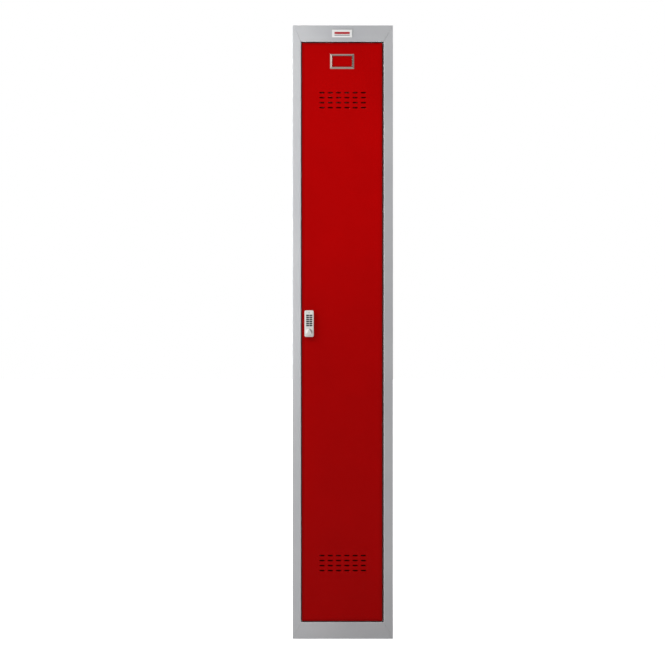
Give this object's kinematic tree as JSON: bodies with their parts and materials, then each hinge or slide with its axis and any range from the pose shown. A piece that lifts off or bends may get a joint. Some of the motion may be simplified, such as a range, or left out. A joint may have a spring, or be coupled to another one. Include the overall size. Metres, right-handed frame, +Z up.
{
  "type": "personal locker",
  "caption": "Tall narrow steel locker with a hinged vented door, card holder, keypad cam lock, hat shelf and coat rail.",
  "frame": {"origin": "on the floor under the middle of the overall box, knob included", "axes": "+Z up, -Y out of the door side, +X towards the hinge side"},
  "size_m": [0.3, 0.4804, 1.83],
  "materials": {
    "grey_paint": "pale grey powder coat, satin",
    "red_paint": "signal red powder coat, satin",
    "zinc_plated_steel": "bright zinc plate",
    "nickel_plate": "nickel plate",
    "silver_case": "silver lacquered zinc casting",
    "dark_key": "moulded, matt",
    "nylon": "moulded black nylon",
    "rubber": "moulded rubber",
    "white_plate": "plain white, gloss",
    "board_green": "solder mask",
    "cell_jacket": "plain printed jacket",
    "clear_lens": "clear light pipe"
  },
  "bodies": {
    "carcass": {"left_side_panel": "grey_paint", "right_side_panel": "grey_paint", "back_panel": "grey_paint", "roof_panel": "grey_paint", "top_rail": "grey_paint", "kick_plate": "grey_paint", "base_tray": "grey_paint", "hat_shelf": "grey_paint", "coat_rail": "zinc_plated_steel", "rail_socket_left": "nylon", "rail_socket_right": "nylon", "badge_plate": "white_plate", "door_buffer_lower": "rubber", "door_buffer_upper": "rubber", "strike_plate": "zinc_plated_steel", "hinge_pin_top": "zinc_plated_steel", "hinge_pin_bottom": "zinc_plated_steel"},
    "door": {"door_panel": "red_paint", "door_stiffener": "red_paint", "card_holder": "nickel_plate", "hinge_bush_top": "nylon", "hinge_bush_bottom": "nylon", "lock_housing": "silver_case", "lock_base_plate": "zinc_plated_steel", "lock_barrel": "zinc_plated_steel", "lock_nut": "zinc_plated_steel", "lock_fixing_screw": "zinc_plated_steel", "circuit_board": "board_green", "key_mat": "rubber", "cell_left": "cell_jacket", "cell_right": "cell_jacket", "solenoid": "zinc_plated_steel", "status_light": "clear_lens"},
    "knob": {"lock_knob": "silver_case", "lock_spindle": "zinc_plated_steel", "lock_cam": "zinc_plated_steel", "cam_screw": "zinc_plated_steel"},
    "plunger": {"lock_plunger": "zinc_plated_steel"},
    "button_1": {"key_1": "dark_key"},
    "button_2": {"key_2": "dark_key"},
    "button_3": {"key_3": "dark_key"},
    "button_4": {"key_4": "dark_key"},
    "button_5": {"key_5": "dark_key"},
    "button_6": {"key_6": "dark_key"},
    "button_7": {"key_7": "dark_key"},
    "button_8": {"key_8": "dark_key"},
    "button_9": {"key_9": "dark_key"},
    "button_0": {"key_0": "dark_key"},
    "button_clear": {"key_clear": "dark_key"},
    "button_enter": {"key_enter": "dark_key"}
  },
  "joints": [
    {"name": "door_hinge", "type": "hinge", "parent": "carcass", "child": "door", "pos_m": [0.1113, -0.20365, 0], "axis": [0, 0, 1], "range_deg": [0, 110]},
    {"name": "knob_turn", "type": "hinge", "parent": "door", "child": "knob", "pos_m": [-0.0999, -0.20985, 0.9154], "axis": [0, 1, 0], "range_deg": [0, 90]},
    {"name": "plunger_slide", "type": "slide", "parent": "door", "child": "plunger", "axis": [0, 0, -1], "range_m": [0, 0.002]},
    {"name": "key_1_press", "type": "slide", "parent": "door", "child": "button_1", "axis": [0, 1, 0], "range_m": [0, 0.001], "stiffness_N_per_m": 400},
    {"name": "key_2_press", "type": "slide", "parent": "door", "child": "button_2", "axis": [0, 1, 0], "range_m": [0, 0.001], "stiffness_N_per_m": 400},
    {"name": "key_3_press", "type": "slide", "parent": "door", "child": "button_3", "axis": [0, 1, 0], "range_m": [0, 0.001], "stiffness_N_per_m": 400},
    {"name": "key_4_press", "type": "slide", "parent": "door", "child": "button_4", "axis": [0, 1, 0], "range_m": [0, 0.001], "stiffness_N_per_m": 400},
    {"name": "key_5_press", "type": "slide", "parent": "door", "child": "button_5", "axis": [0, 1, 0], "range_m": [0, 0.001], "stiffness_N_per_m": 400},
    {"name": "key_6_press", "type": "slide", "parent": "door", "child": "button_6", "axis": [0, 1, 0], "range_m": [0, 0.001], "stiffness_N_per_m": 400},
    {"name": "key_7_press", "type": "slide", "parent": "door", "child": "button_7", "axis": [0, 1, 0], "range_m": [0, 0.001], "stiffness_N_per_m": 400},
    {"name": "key_8_press", "type": "slide", "parent": "door", "child": "button_8", "axis": [0, 1, 0], "range_m": [0, 0.001], "stiffness_N_per_m": 400},
    {"name": "key_9_press", "type": "slide", "parent": "door", "child": "button_9", "axis": [0, 1, 0], "range_m": [0, 0.001], "stiffness_N_per_m": 400},
    {"name": "key_0_press", "type": "slide", "parent": "door", "child": "button_0", "axis": [0, 1, 0], "range_m": [0, 0.001], "stiffness_N_per_m": 400},
    {"name": "key_clear_press", "type": "slide", "parent": "door", "child": "button_clear", "axis": [0, 1, 0], "range_m": [0, 0.001], "stiffness_N_per_m": 400},
    {"name": "key_enter_press", "type": "slide", "parent": "door", "child": "button_enter", "axis": [0, 1, 0], "range_m": [0, 0.001], "stiffness_N_per_m": 400}
  ]
}
